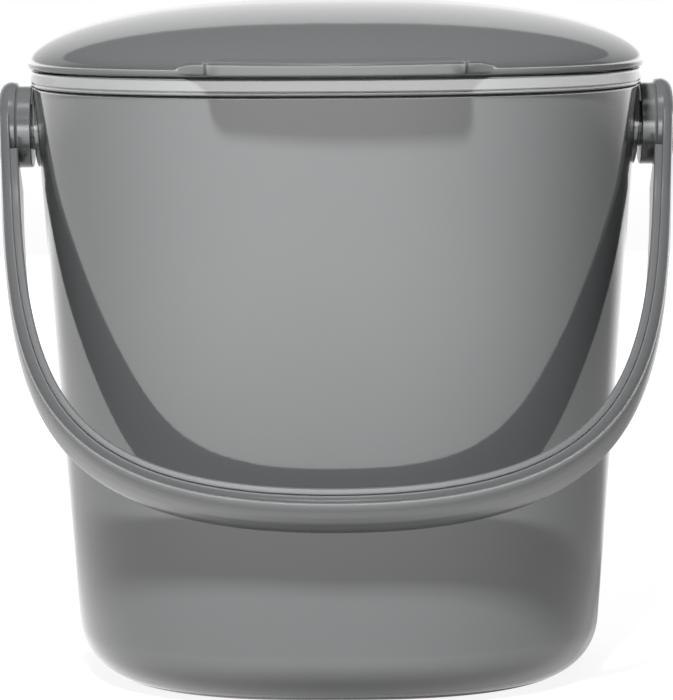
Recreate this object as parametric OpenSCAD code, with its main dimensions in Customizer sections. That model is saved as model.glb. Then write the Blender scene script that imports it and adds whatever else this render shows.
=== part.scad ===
// Kitchen compost caddy: tapered rounded-square bucket, rim ring, hinged lid with a finger tab, strap bail.
// Millimetres. The origin is the middle of the base, on the surface that the caddy stands on.
// +X is to the right seen from the front, the front faces -Y, and +Z is up.

/* [Bucket] */
// Width of the bucket at its top shoulder
top_w = 169.8; // [140:1:210]
// How much less the depth is than the width, at every height
depth_less = 3.6; // [0:0.4:12]
// Height of the shoulder that the rim ring sits on
shoulder_h = 165; // [130:0.5:200]
// Lean of each wall from upright, in degrees
wall_lean = 4.2; // [1:0.1:7]
// Thickness of the bucket's wall
wall = 2.4; // [1.6:0.1:3.2]
// Thickness of the bucket's floor
floor_t = 2.6; // [1.8:0.1:4]
// Radius of the rounded edge around the base
base_round = 15; // [8:0.5:20]
// Squareness of the plan at the top, where 2 is an ellipse
square_top = 2.4; // [2.1:0.05:3]
// Squareness of the plan at the base
square_base = 2.65; // [2.1:0.05:3.4]
// Width of the band that the caddy stands on
foot_w = 7; // [4:0.5:10]
// Depth of the ring-shaped hollow under the floor
foot_hollow = 1; // [0.4:0.1:1.4]

/* [Rim ring] */
// Height of the ring's outer band
ring_h = 4.5; // [3.5:0.1:8]
// Thickness of the ring's outer band
ring_t = 1.6; // [1.2:0.1:2.2]
// How far the band stands proud of the bucket's shoulder
ring_proud = 0.8; // [0.4:0.1:1.5]
// Thickness of the ring's top and of its inner skirt
ring_web = 1.5; // [1.2:0.1:2]
// Height of the fine bead along the band's lower edge
ring_bead = 1; // [0.7:0.1:1.2]
// How far the inner skirt hangs below the shoulder
skirt_drop = 5; // [3:0.5:8]

/* [Lid] */
// Gap between the ring's top and the lid's lower edge
lid_gap = 0.4; // [0.3:0.05:0.8]
// How far the lid's nose overhangs the rim ring
lid_overhang = 0.7; // [0.3:0.1:1.5]
// Rise of the dome above the nose
dome_rise = 16.6; // [10:0.2:24]
// Height of the nose's rounded edge
nose_h = 1.9; // [1.5:0.1:3]
// How far the nose stands out from the lid's lower edge
nose_out = 0.8; // [0.5:0.1:1.2]
// Thickness of the lid's shell
lid_t = 2; // [1.5:0.1:2.6]
// Width of the inner ledge that the liner is pressed up to
ledge_w = 1; // [0.6:0.1:1.4]

/* [Finger tab] */
// Width of the tab
tab_w = 68; // [40:1:90]
// How far the tab reaches out in front of the nose
tab_reach = 11; // [8:0.5:16]
// Thickness of the tab at its front
tab_t = 3.5; // [2.6:0.1:5]
// How much higher the tab's top is at the nose than at its front
tab_rise = 0.7; // [0:0.1:1.5]
// Height of the tab's underside above the lid's lower edge
tab_lift = 0.5; // [0.2:0.1:1]
// Radius of the tab's front corners
tab_corner = 4.5; // [2:0.5:6]
// Radius of the tab's upper and lower edges
tab_edge = 0.8; // [0.4:0.1:1.2]
// Width of the hollow flare on each side of the tab, along the nose
flare_w = 14; // [5:0.5:14]
// Depth of the hollow flare in front of the nose
flare_d = 9; // [4:0.5:9]

/* [Liner and seal] */
// Thickness of the liner's plate and of its plug skirt
liner_t = 1.6; // [1.2:0.1:2.2]
// How far the plug skirt hangs below the liner's plate
plug_drop = 4.8; // [3:0.2:7]
// Clearance between the plug skirt and the ring's skirt
plug_gap = 0.45; // [0.3:0.05:1]
// Width of the seal ring
seal_w = 2.8; // [2:0.1:3]
// Thickness of the seal ring
seal_t = 0.9; // [0.7:0.1:1.4]

/* [Hinge] */
// Radius of each hinge pin
pin_r = 1.6; // [1.2:0.1:2]
// Length of each hinge pin
pin_len = 14; // [10:1:20]
// How far each pin's outer end stays inside its lug
pin_inset = 0.4; // [0.2:0.1:1]
// Radius of the lugs and knuckles around the pins
knuckle_r = 3.8; // [3:0.1:4.5]
// Gap between the lid's nose and the lugs and knuckles behind it
hinge_back = 1; // [0.6:0.1:3]
// Depth of the hinge axis below the ring's top
hinge_drop = 1.7; // [1:0.1:2.2]
// Width of each lug on the rim ring
lug_w = 6; // [4:0.5:8]
// Width of each knuckle on the lid
knuckle_w = 10; // [7:0.5:14]
// Distance between the outer faces of the two lugs
hinge_span = 80; // [60:1:96]

/* [Handle] */
// Reach of the bail, from the pivot axis to the ridge at its middle
bail_reach = 131.4; // [110:1:160]
// How far each arm of the bail draws in before its bend
bail_draw = 4.9; // [2:0.1:8]
// Width of the strap
strap_w = 16; // [12:0.5:20]
// Thickness of the strap beside the heads
arm_t = 5.2; // [4.4:0.1:6]
// Thickness of the strap at its middle
grip_t = 6.4; // [5:0.1:8]
// Height of the middle ridge above the strap's outer edges
strap_crown = 0.3; // [0.1:0.05:0.6]
// Thickness of the inner strip
strip_t = 2.2; // [1.4:0.1:2.6]
// Radius of the hubs that turn against the bucket
hub_r = 11.5; // [10:0.1:14]
// Length of the hubs, between the bucket and the strap's heads
hub_len = 4.3; // [3:0.1:8]
// How much larger the heads' radius is than the hubs'
head_step = 1.2; // [1:0.1:3]
// Height of the bucket's shoulder above the top of the hubs
hub_drop = 0.3; // [0.3:0.1:10]

/* [Pivot] */
// Radius of the peg that the bail turns on
peg_r = 6.5; // [5:0.1:7]
// Radius of the cap's stem inside the peg
stem_r = 3.5; // [2.5:0.1:4]
// Depth of the peg's bore that the stem leaves free
stem_gap = 1.2; // [0.5:0.1:2]
// How much larger the cap's head is than the peg
cap_lip = 1.7; // [1.2:0.1:2.2]
// Thickness of the cap's head
cap_t = 1.5; // [1.2:0.1:1.8]
// How deep the cap's face lies in the bail's head
cap_sink = 0.5; // [0.2:0.1:1]
// How far the boss stands proud of the wall at the pivot
boss_proud = 0.9; // [0.6:0.1:1]
// Lean of the boss's face from upright, in degrees
boss_lean = 3; // [1:0.25:4]

/* [Fits] */
// Radial clearance of a pin or peg that turns in a bore
run_gap = 0.05; // [0.02:0.01:0.1]
// Clearance between pieces that move past each other
free_gap = 0.3; // [0.2:0.05:0.5]
// Clearance between pieces that are seated in each other
seat_gap = 0.2; // [0.1:0.05:0.3]
// Clearance around the liner's plate, which is pressed into the lid
press_gap = 0.1; // [0.05:0.05:0.2]

/* [Hidden] */

$fn = 64;
plan_n = 64;
plastic = "#6a6d6f";
dark_plastic = "#55585a";
soft = "#3a3c3d";
steel = "#b9bcc0";

// Small edge rounding, groove depth, and how far a cut or a root passes a face
edge = 0.6;
groove = 0.3;
past = 1;

// Bucket: half widths at any height, and the arc of the base
shoulder_a = top_w / 2;
lean = tan(wall_lean);
function outer_a(z) = shoulder_a - (shoulder_h - z) * lean;
function square_at(z) = square_base + (square_top - square_base) * min(1, max(0, z / shoulder_h));
base_arc_z = base_round * (1 - sin(wall_lean));
base_arc_a = outer_a(base_arc_z) - base_round * cos(wall_lean);
inner_round = base_round - wall;
inner_floor = foot_hollow + floor_t;
inner_arc_z = inner_floor + inner_round * (1 - sin(wall_lean));
inner_arc_a = outer_a(inner_arc_z) - wall - inner_round * cos(wall_lean);
pad_a = base_arc_a / 2;

// Rim ring: half widths and heights
ring_a = shoulder_a + ring_proud;
ring_z = shoulder_h + free_gap;
ring_top = ring_z + ring_h;
lip_a = ring_a - ring_t - seat_gap;
lip_top = ring_top - ring_web;
skirt_z = shoulder_h - skirt_drop;
skirt_a = outer_a(skirt_z) - wall - seat_gap;
skirt_in_a = skirt_a - ring_web;

// Lid: half widths, heights and the dome's curve
lid_a = ring_a + lid_overhang;
lid_b = lid_a - depth_less / 2;
lid_z = ring_top + lid_gap;
nose_z = lid_z + nose_h;
lid_top = nose_z + dome_rise;
rim_out_a = lid_a - nose_out;
rim_in_a = rim_out_a - lid_t;
ledge_a = rim_in_a - ledge_w;
dome_in = 2.5;
dome_out = 0.58;
dome_steps = 10;
function dome(s) = pow(1 - pow(s, dome_in), dome_out);
function dome_share(k) = 1 - pow(k / dome_steps, 1.7);
function nose_y(x) = lid_b * pow(1 - pow(x / lid_a, square_top), 1 / square_top);

// Liner and seal
plate_z = ring_top + free_gap + seal_t;
plate_a = rim_in_a - press_gap;
ledge_z = plate_z + liner_t;
plug_a = skirt_in_a - plug_gap;
plug_fillet = 3;
seal_out_a = rim_in_a - seat_gap;
seal_in_a = seal_out_a - seal_w;

// Tab
tab_z = lid_z + tab_lift;
tab_front = lid_b + tab_reach;
tab_root = 2 * lid_t;
tab_climb = tab_rise / tab_reach;
flare_in = min(flare_d, tab_front - tab_corner - edge - nose_y(tab_w / 2));
fall_start = 0.35;
fall_steps = 8;

// Hinge
hinge_y = lid_b + hinge_back + knuckle_r;
hinge_z = ring_top - hinge_drop;
lug_x = hinge_span / 2 - lug_w / 2;
knuckle_x = hinge_span / 2 - lug_w - free_gap - knuckle_w / 2;
pin_x = hinge_span / 2 - pin_inset - pin_len / 2;
arm_r = 0.95 * knuckle_r;

// Bosses and hubs
pivot_z = shoulder_h - hub_drop - hub_r;
boss_r = hub_r - press_gap;
boss_a = outer_a(pivot_z) + boss_proud;
boss_root = boss_proud + 0.7 * wall;
hub_in = max(ring_a, boss_a + boss_r * sin(boss_lean) + free_gap);
head_in = hub_in + hub_len;
head_r = hub_r + head_step;
head_round = 3.4;
hub_fillet = 0.9;

// Bail: its ridge is a cubic curve from the pivot to the middle, mirrored
bail_a = head_in + arm_t - free_gap;
bail_pull = 0.617;
bail_square = 0.952;
bail_steps = 40;
side_steps = 3;
neck_start = 3;
neck_len = 30;
neck_w = head_r - free_gap;
strap_corner = 0.8;
strip_edge = 0.5;

// Peg and cap
peg_end = bail_a - cap_t - cap_sink;
cap_r = peg_r + cap_lip;

// Angle from straight down at which the strap's inner rear corner lies one clearance off the front wall
strap_in = bail_reach - grip_t;
strap_rear = strap_w / 2 - strip_edge;
rest_far = strap_in + lean * strap_rear;
rest_near = lean * strap_in - strap_rear;
rest_wall = outer_a(pivot_z) - depth_less / 2 + free_gap / cos(wall_lean);
rest_angle = asin(rest_wall / norm([rest_far, rest_near])) - atan2(rest_near, rest_far);

// Points of a rounded-square ring of half width a at height z, with squareness n
function plan(a, z, n) = [
    for (i = [0:plan_n - 1])
        let (c = cos(360 * i / plan_n), s = sin(360 * i / plan_n))
        [a * sign(c) * pow(abs(c), 2 / n), (a - depth_less / 2) * sign(s) * pow(abs(s), 2 / n), z]
];

// Triangles between rings of m points each, closed into a loop or open
function skin(rings, m, closed) = [
    for (i = [0:rings - (closed ? 1 : 2)], j = [0:m - 1])
        let (a = i * m + j, b = i * m + (j + 1) % m)
        let (c = ((i + 1) % rings) * m + (j + 1) % m, d = ((i + 1) % rings) * m + j)
        each [[a, d, c], [a, c, b]]
];

// Faces that close a ring of m points from point o on: one polygon, or strips between mirrored points
function cap(o, m, mirrored) = mirrored
    ? [for (j = [0:m / 2 - 2]) [o + j, o + j + 1, o + m - 2 - j, o + m - 1 - j]]
    : [[for (j = [0:m - 1]) o + j]];
function turned(faces) = [for (f = faces) [for (k = [len(f) - 1:-1:0]) f[k]]];

// A solid through open rings, capped at both ends
module loft(rings, mirrored = false) {
    m = len(rings[0]);
    caps = concat(cap(0, m, mirrored), turned(cap((len(rings) - 1) * m, m, mirrored)));
    polyhedron([for (r = rings) each r], concat(skin(len(rings), m, false), caps), convexity = 10);
}

// A closed band whose rings are its section's corners, in order outwards and then upwards
module band(section, n) {
    rings = [for (p = section) plan(p[0], p[1], n)];
    polyhedron([for (r = rings) each r], skin(len(rings), plan_n, true), convexity = 10);
}

// A cylinder along X from x0 to x1, at the given depth and height
module rod(r, x0, x1, y, z) {
    translate([min(x0, x1), y, z]) rotate([0, 90, 0]) cylinder(r = r, h = abs(x1 - x0));
}

// The space that one hinge pin fills
module pin_rod(side) {
    rod(pin_r, side * (pin_x - pin_len / 2), side * (pin_x + pin_len / 2), hinge_y, hinge_z);
}

// The bucket's outline, up the outside, over the lip and down the inside
bucket_section = concat(
    [[pad_a, 0], [pad_a + foot_hollow, foot_hollow]],
    [[base_arc_a - foot_w - foot_hollow, foot_hollow], [base_arc_a - foot_w, 0]],
    [for (k = [0:6]) let (t = -90 + k * (90 - wall_lean) / 6)
        [base_arc_a + base_round * cos(t), base_round + base_round * sin(t)]],
    [for (k = [1:4]) let (z = base_arc_z + k * (shoulder_h - base_arc_z) / 4) [outer_a(z), z]],
    [[lip_a, shoulder_h], [lip_a, lip_top], [shoulder_a - wall, lip_top]],
    [for (k = [0:4]) let (z = shoulder_h - k * (shoulder_h - inner_arc_z) / 4) [outer_a(z) - wall, z]],
    [for (k = [1:5]) let (t = -wall_lean - k * (90 - wall_lean) / 5)
        [inner_arc_a + inner_round * cos(t), inner_floor + inner_round + inner_round * sin(t)]]
);

// Boss and hollow peg on one side
module pivot_boss(side) {
    translate([side * boss_a, 0, pivot_z])
        rotate([0, side * (90 + boss_lean), 0])
        translate([0, 0, -boss_root])
        cylinder(r = boss_r, h = boss_root);
    rod(peg_r, side * (boss_a - boss_root), side * peg_end, 0, pivot_z);
}

module bucket() {
    color(plastic) difference() {
        union() {
            loft([for (p = bucket_section) plan(p[0], p[1], square_at(p[1]))]);
            for (side = [-1, 1]) pivot_boss(side);
        }
        for (side = [-1, 1]) rod(stem_r, side * boss_a, side * (peg_end + past), 0, pivot_z);
    }
}

// The ring's section: outer band with its bead, top web and inner skirt
ring_section = [
    [ring_a - ring_t, ring_z],
    [ring_a - edge, ring_z],
    [ring_a, ring_z + groove],
    [ring_a, ring_z + ring_bead - groove],
    [ring_a - groove, ring_z + ring_bead],
    [ring_a, ring_z + ring_bead + groove],
    [ring_a, ring_top - edge],
    [ring_a - edge, ring_top],
    [skirt_in_a + edge, ring_top],
    [skirt_in_a, ring_top - edge],
    [skirt_in_a, skirt_z],
    [skirt_a, skirt_z],
    [skirt_a, lip_top],
    [ring_a - ring_t, lip_top]
];

// A hinge lug: an eye around the pin, and a web that joins it to the band
module lug(side) {
    low = ring_z + ring_bead + groove;
    x0 = side * (lug_x - lug_w / 2);
    x1 = side * (lug_x + lug_w / 2);
    rod(knuckle_r, x0, x1, hinge_y, hinge_z);
    difference() {
        translate([min(x0, x1), 0, 0]) rotate([90, 0, 90]) linear_extrude(lug_w) polygon([
            [0, low],
            [hinge_y - 1.6 * knuckle_r, low],
            [hinge_y - arm_r * sin(20), hinge_z - arm_r * cos(20)],
            [hinge_y, hinge_z],
            [hinge_y - arm_r * sin(25), hinge_z + arm_r * cos(25)],
            [hinge_y - 2.1 * knuckle_r, ring_top - edge],
            [0, ring_top - edge]
        ]);
        translate([0, 0, ring_z]) linear_extrude(ring_h)
            polygon([for (p = plan(ring_a - ring_t / 2, 0, square_top)) [p[0], p[1]]]);
    }
}

module rim_ring() {
    color(dark_plastic) difference() {
        union() {
            band(ring_section, square_top);
            for (side = [-1, 1]) lug(side);
        }
        for (side = [-1, 1]) pin_rod(side);
    }
}

// Right half of the tab's outline seen from above, drawn in by i: root, hollow flare, front corner
function tab_half(i) = concat(
    [[tab_w / 2 + flare_w, tab_root - nose_y(tab_w / 2 + flare_w)]],
    [for (t = [90:-18:0]) let (x = tab_w / 2 + flare_w * (1 - cos(t)))
        [x - i * cos(t), (i + edge) * sin(t) - nose_y(x) - flare_in * (1 - sin(t))]],
    [for (t = [0:-22.5:-90]) let (r = tab_corner - i)
        [tab_w / 2 - tab_corner + r * cos(t), tab_corner - tab_front + r * sin(t)]]
);
// The whole outline at height z, whose points climb by rise for each millimetre behind the tab's front
function tab_outline(i, z, rise) = let (h = tab_half(i)) concat(
    [for (k = [len(h) - 1:-1:0]) [h[k][0], h[k][1], z + rise * (h[k][1] + tab_front)]],
    [for (p = h) [-p[0], p[1], z + rise * (p[1] + tab_front)]]
);

// The space above one flare, where the tab's top falls in an S curve to the lid's nose
module tab_fall(side) {
    x0 = tab_w / 2 + fall_start * flare_w;
    x1 = tab_w / 2 + flare_w;
    z0 = tab_z + tab_t + tab_climb * (tab_front - nose_y(x0));
    z1 = nose_z - groove;
    rotate([90, 0, 0]) linear_extrude(tab_front + past) polygon(concat(
        [for (k = [0:fall_steps]) let (u = k / fall_steps)
            [side * (x0 + u * (x1 - x0)), z0 + (z1 - z0) * smooth(u)]],
        [[side * (x1 + past), z1], [side * (x1 + past), z0 + past], [side * x0, z0 + past]]
    ));
}

module finger_tab() {
    low = tab_z + tab_edge;
    high = tab_z + tab_t - tab_edge;
    difference() {
        loft(concat(
            [for (t = [-90:45:0]) tab_outline(tab_edge * (1 - cos(t)), low + tab_edge * sin(t), 0)],
            [for (t = [0:45:90]) tab_outline(tab_edge * (1 - cos(t)), high + tab_edge * sin(t), tab_climb)]
        ), true);
        for (side = [-1, 1]) tab_fall(side);
    }
}

// A knuckle on the lid: an eye around the pin, and an arm down to it from the lid's nose
module knuckle(side) {
    root = nose_y(hinge_span / 2) - lid_t;
    x0 = side * (knuckle_x - knuckle_w / 2);
    x1 = side * (knuckle_x + knuckle_w / 2);
    rod(knuckle_r, x0, x1, hinge_y, hinge_z);
    translate([min(x0, x1), 0, 0]) rotate([90, 0, 90]) linear_extrude(knuckle_w) polygon([
        [root, nose_z - nose_h / 2],
        [root, nose_z + lid_t],
        [lid_b + hinge_back, nose_z + 0.7 * lid_t],
        [hinge_y + arm_r * sin(40), hinge_z + arm_r * cos(40)],
        [hinge_y, hinge_z],
        [hinge_y - arm_r * cos(30), hinge_z + arm_r * sin(30)]
    ]);
}

// The lid's outline: lower edge, rounded nose, dome, and back down the inside to the ledge
lid_section = concat(
    [[rim_in_a, lid_z]],
    [for (t = [-90:30:0]) [rim_out_a + nose_out * cos(t), lid_z + nose_h * (1 + sin(t))]],
    [for (k = [1:dome_steps - 1]) [lid_a * dome_share(k), nose_z + dome_rise * dome(dome_share(k))]]
);
lid_hollow = concat(
    [[rim_in_a, lid_z - past], [rim_in_a, ledge_z]],
    [for (k = [0:dome_steps - 1])
        [ledge_a * dome_share(k), ledge_z + (lid_top - lid_t - ledge_z) * dome(dome_share(k))]]
);

module lid_shell() {
    color(plastic) difference() {
        union() {
            loft([for (p = lid_section) plan(p[0], p[1], square_top)]);
            finger_tab();
            for (side = [-1, 1]) knuckle(side);
        }
        loft([for (p = lid_hollow) plan(p[0], p[1], square_top)]);
        for (side = [-1, 1])
            rod(pin_r + run_gap, side * (pin_x - pin_len / 2 - free_gap), side * lug_x, hinge_y, hinge_z);
    }
}

module lid_liner() {
    color(dark_plastic) loft([for (p = [
        [plug_a - liner_t - plug_fillet, plate_z],
        [plug_a - liner_t, plate_z - edge],
        [plug_a - liner_t, plate_z - plug_drop],
        [plug_a - edge, plate_z - plug_drop],
        [plug_a, plate_z - plug_drop + edge],
        [plug_a, plate_z],
        [plate_a, plate_z],
        [plate_a, ledge_z]
    ]) plan(p[0], p[1], square_top)]);
}

module lid_seal() {
    color(soft) band([
        [seal_in_a, plate_z - seal_t],
        [seal_out_a, plate_z - seal_t],
        [seal_out_a, plate_z],
        [seal_in_a, plate_z]
    ], square_top);
}

module hinge_pin(side) {
    color(steel) pin_rod(side);
}

// Place of the bail's ridge, and its direction, at share t from the left pivot to the right
function bezier(p, u) = pow(1 - u, 3) * p[0] + 3 * u * pow(1 - u, 2) * p[1] + 3 * u * u * (1 - u) * p[2]
    + pow(u, 3) * p[3];
function slope(p, u) = 3 * pow(1 - u, 2) * (p[1] - p[0]) + 6 * u * (1 - u) * (p[2] - p[1])
    + 3 * u * u * (p[3] - p[2]);
bail_left = [
    [-bail_a, 0],
    [bail_draw - bail_a, -bail_pull * bail_reach],
    [-bail_square * bail_a, -bail_reach],
    [0, -bail_reach]
];
bail_right = [for (k = [3:-1:0]) [-bail_left[k][0], bail_left[k][1]]];
function ridge(t) = t < 0.5 ? bezier(bail_left, 2 * t) : bezier(bail_right, 2 * t - 1);
function heading(t) = let (s = t < 0.5 ? slope(bail_left, 2 * t) : slope(bail_right, 2 * t - 1)) s / norm(s);
function strap_t(t) = grip_t + (arm_t - grip_t) * pow(1 - 2 * t, 2);
function smooth(x) = let (c = min(1, max(0, x))) c * c * (3 - 2 * c);
function neck(t) = 1 - smooth((-ridge(t)[1] - neck_start) / neck_len);
function half_w(t) = strap_w / 2 + (neck_w - strap_w / 2) * neck(t);

// Section of the strap: [across the bail, outwards from the ridge], with rounded outer corners
function shell_side(w, t) = let (h = strap_t(t) - strip_t, r = h - strap_corner, w0 = w - strap_crown) concat(
    [[w0, -h]],
    [for (k = [0:side_steps]) let (a = 90 * k / side_steps)
        [w0 - r + r * cos(a), r * sin(a) - r - strap_crown]]
);
function shell_section(w, t) = let (s = shell_side(w, t)) concat(
    s, [[0, 0]], [for (k = [len(s) - 1:-1:0]) [-s[k][0], s[k][1]]]
);
function strip_section(w, t) = let (i = strap_t(t), o = strap_t(t) - strip_t, e = strip_edge) [
    [w - e, -i], [w, -i + e], [w, -o], [-w, -o], [-w, -i + e], [-w + e, -i]
];
function swept(section, t) = let (p = ridge(t), d = heading(t)) [
    for (q = section) [p[0] + q[1] * d[1], -q[0], p[1] - q[1] * d[0]]
];

// Shares along the bail at which the strap's rings stand
shares = [for (k = [0:bail_steps]) k / bail_steps];
strip_shares = [for (t = shares) if (-ridge(t)[1] > head_r + past) t];

module at_rest() {
    translate([0, 0, pivot_z]) rotate([-rest_angle, 0, 0]) children();
}

// Head and hub on one side, a turned shape around the pivot axis
module head(side) {
    rotate([0, side * 90, 0]) rotate_extrude() polygon(concat(
        [[0, hub_in], [hub_r, hub_in]],
        [for (t = [180:-30:90])
            [hub_r + hub_fillet * (1 + cos(t)), head_in - hub_fillet * (1 - sin(t))]],
        [for (t = [0:15:90])
            [head_r - head_round * (1 - cos(t)), bail_a - head_round * (1 - sin(t))]],
        [[0, bail_a]]
    ));
}

module handle_bow() {
    color(plastic) at_rest() difference() {
        union() {
            loft([for (t = shares) swept(shell_section(half_w(t), t), t)]);
            for (side = [-1, 1]) head(side);
        }
        for (side = [-1, 1]) {
            rod(peg_r + run_gap, side * (hub_in - past), side * bail_a, 0, 0);
            rod(cap_r + free_gap, side * (peg_end - free_gap), side * (bail_a + past), 0, 0);
        }
    }
}

module handle_inner_strip() {
    color(dark_plastic) at_rest() loft([for (t = strip_shares) swept(strip_section(half_w(t), t), t)]);
}

module pivot_cap(side) {
    color(dark_plastic) {
        rod(stem_r, side * (boss_a + stem_gap), side * peg_end, 0, pivot_z);
        rod(cap_r, side * peg_end, side * (peg_end + cap_t), 0, pivot_z);
    }
}

bucket();
rim_ring();
lid_shell();
lid_liner();
lid_seal();
hinge_pin(-1);  // hinge_pin_left
hinge_pin(1);  // hinge_pin_right
handle_bow();
handle_inner_strip();
pivot_cap(-1);  // pivot_cap_left
pivot_cap(1);  // pivot_cap_right
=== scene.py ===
"""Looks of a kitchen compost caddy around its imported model: refined mouldings, finishes, camera and light."""

import math

import bmesh
import bpy
from mathutils import Matrix, Vector


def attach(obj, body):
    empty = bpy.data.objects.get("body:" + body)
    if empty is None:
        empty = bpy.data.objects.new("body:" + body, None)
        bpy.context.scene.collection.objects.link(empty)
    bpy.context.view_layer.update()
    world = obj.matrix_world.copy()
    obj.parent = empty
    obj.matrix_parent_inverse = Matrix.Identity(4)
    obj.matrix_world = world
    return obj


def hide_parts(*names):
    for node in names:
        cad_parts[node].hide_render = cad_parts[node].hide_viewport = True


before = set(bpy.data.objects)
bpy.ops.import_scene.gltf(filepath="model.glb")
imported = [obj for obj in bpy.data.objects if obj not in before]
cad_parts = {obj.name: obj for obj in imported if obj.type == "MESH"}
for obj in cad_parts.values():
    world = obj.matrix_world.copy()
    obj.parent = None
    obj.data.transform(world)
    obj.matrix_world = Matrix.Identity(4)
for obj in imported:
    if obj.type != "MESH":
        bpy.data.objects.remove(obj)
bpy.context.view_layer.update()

MM = 0.001

# Sizes in millimetres, as the source of the part has them
TOP_W, DEPTH_LESS, SHOULDER_H, WALL_LEAN = 169.8, 3.6, 165.0, 4.2
WALL, FLOOR_T, BASE_ROUND, SQUARE_TOP, SQUARE_BASE = 2.4, 2.6, 15.0, 2.4, 2.65
FOOT_W, FOOT_HOLLOW = 7.0, 1.0
RING_H, RING_T, RING_PROUD, RING_WEB, RING_BEAD, SKIRT_DROP = 4.5, 1.6, 0.8, 1.5, 1.0, 5.0
LID_GAP, LID_OVERHANG, DOME_RISE, NOSE_H, NOSE_OUT, LID_T, LEDGE_W = 0.4, 0.7, 16.6, 1.9, 0.8, 2.0, 1.0
TAB_W, TAB_REACH, TAB_T, TAB_RISE, TAB_LIFT = 68.0, 11.0, 3.5, 0.7, 0.5
TAB_CORNER, TAB_EDGE, FLARE_W, FLARE_D = 4.5, 0.8, 14.0, 9.0
LINER_T, PLUG_DROP, PLUG_GAP, SEAL_W, SEAL_T = 1.6, 4.8, 0.45, 2.8, 0.9
PIN_R, PIN_LEN, PIN_INSET, KNUCKLE_R = 1.6, 14.0, 0.4, 3.8
HINGE_BACK, HINGE_DROP, LUG_W, KNUCKLE_W, HINGE_SPAN = 1.0, 1.7, 6.0, 10.0, 80.0
BAIL_REACH, BAIL_DRAW, STRAP_W, ARM_T, GRIP_T = 131.4, 4.9, 16.0, 5.2, 6.4
STRAP_CROWN, STRIP_T, HUB_R, HUB_LEN, HEAD_STEP, HUB_DROP = 0.3, 2.2, 11.5, 4.3, 1.2, 0.3
PEG_R, STEM_R, STEM_GAP, CAP_LIP, CAP_T, CAP_SINK = 6.5, 3.5, 1.2, 1.7, 1.5, 0.5
BOSS_PROUD, BOSS_LEAN = 0.9, 3.0
RUN_GAP, FREE_GAP, SEAT_GAP, PRESS_GAP = 0.05, 0.3, 0.2, 0.1
EDGE, GROOVE = 0.6, 0.3

# Depth of the line above the ring's bead, which looks shallower than the source has it
BEAD_DIP = 0.12

# Bucket
SHOULDER_A = TOP_W / 2
LEAN_ANGLE = math.radians(WALL_LEAN)
LEAN = math.tan(LEAN_ANGLE)


def outer_a(z):
    """Half width of the bucket's outer wall at height z."""
    return SHOULDER_A - (SHOULDER_H - z) * LEAN


def square_at(z):
    """Squareness of the bucket's plan at height z, where 2 is an ellipse."""
    return SQUARE_BASE + (SQUARE_TOP - SQUARE_BASE) * min(1, max(0, z / SHOULDER_H))


ARC_Z = BASE_ROUND * (1 - math.sin(LEAN_ANGLE))
ARC_A = outer_a(ARC_Z) - BASE_ROUND * math.cos(LEAN_ANGLE)
INNER_ROUND = BASE_ROUND - WALL
INNER_FLOOR = FOOT_HOLLOW + FLOOR_T
INNER_ARC_Z = INNER_FLOOR + INNER_ROUND * (1 - math.sin(LEAN_ANGLE))
INNER_ARC_A = outer_a(INNER_ARC_Z) - WALL - INNER_ROUND * math.cos(LEAN_ANGLE)
PAD_A = ARC_A / 2

# Rim ring
RING_A = SHOULDER_A + RING_PROUD
RING_Z = SHOULDER_H + FREE_GAP
RING_TOP = RING_Z + RING_H
LIP_A = RING_A - RING_T - SEAT_GAP
LIP_TOP = RING_TOP - RING_WEB
SKIRT_Z = SHOULDER_H - SKIRT_DROP
SKIRT_A = outer_a(SKIRT_Z) - WALL - SEAT_GAP
SKIRT_IN_A = SKIRT_A - RING_WEB

# Lid, liner and seal
LID_A = RING_A + LID_OVERHANG
LID_B = LID_A - DEPTH_LESS / 2
LID_Z = RING_TOP + LID_GAP
NOSE_Z = LID_Z + NOSE_H
LID_TOP = NOSE_Z + DOME_RISE
RIM_OUT_A = LID_A - NOSE_OUT
RIM_IN_A = RIM_OUT_A - LID_T
LEDGE_A = RIM_IN_A - LEDGE_W
PLATE_Z = RING_TOP + FREE_GAP + SEAL_T
PLATE_A = RIM_IN_A - PRESS_GAP
LEDGE_Z = PLATE_Z + LINER_T
PLUG_A = SKIRT_IN_A - PLUG_GAP
SEAL_OUT_A = RIM_IN_A - SEAT_GAP
SEAL_IN_A = SEAL_OUT_A - SEAL_W
TAB_Z = LID_Z + TAB_LIFT
TAB_FRONT = LID_B + TAB_REACH

# Hinge
HINGE_Y = LID_B + HINGE_BACK + KNUCKLE_R
HINGE_Z = RING_TOP - HINGE_DROP
LUG_X = HINGE_SPAN / 2 - LUG_W / 2
KNUCKLE_X = HINGE_SPAN / 2 - LUG_W - FREE_GAP - KNUCKLE_W / 2
PIN_X = HINGE_SPAN / 2 - PIN_INSET - PIN_LEN / 2

# Bail
PIVOT_Z = SHOULDER_H - HUB_DROP - HUB_R
BOSS_R = HUB_R - PRESS_GAP
BOSS_A = outer_a(PIVOT_Z) + BOSS_PROUD
BOSS_ROOT = BOSS_PROUD + 0.7 * WALL
HUB_IN = max(RING_A, BOSS_A + BOSS_R * math.sin(math.radians(BOSS_LEAN)) + FREE_GAP)
HEAD_IN = HUB_IN + HUB_LEN
HEAD_R = HUB_R + HEAD_STEP
HEAD_ROUND, HUB_FILLET = 3.4, 0.9
BAIL_A = HEAD_IN + ARM_T - FREE_GAP
BAIL_PULL, BAIL_SQUARE = 0.617, 0.952
NECK_START, NECK_LEN, NECK_W = 3.0, 30.0, HEAD_R - FREE_GAP
STRAP_CORNER, STRIP_EDGE = 0.8, 0.5
PEG_END = BAIL_A - CAP_T - CAP_SINK
CAP_R = PEG_R + CAP_LIP
STRAP_IN = BAIL_REACH - GRIP_T
STRAP_REAR = STRAP_W / 2 - STRIP_EDGE
REST_FAR = STRAP_IN + LEAN * STRAP_REAR
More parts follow.
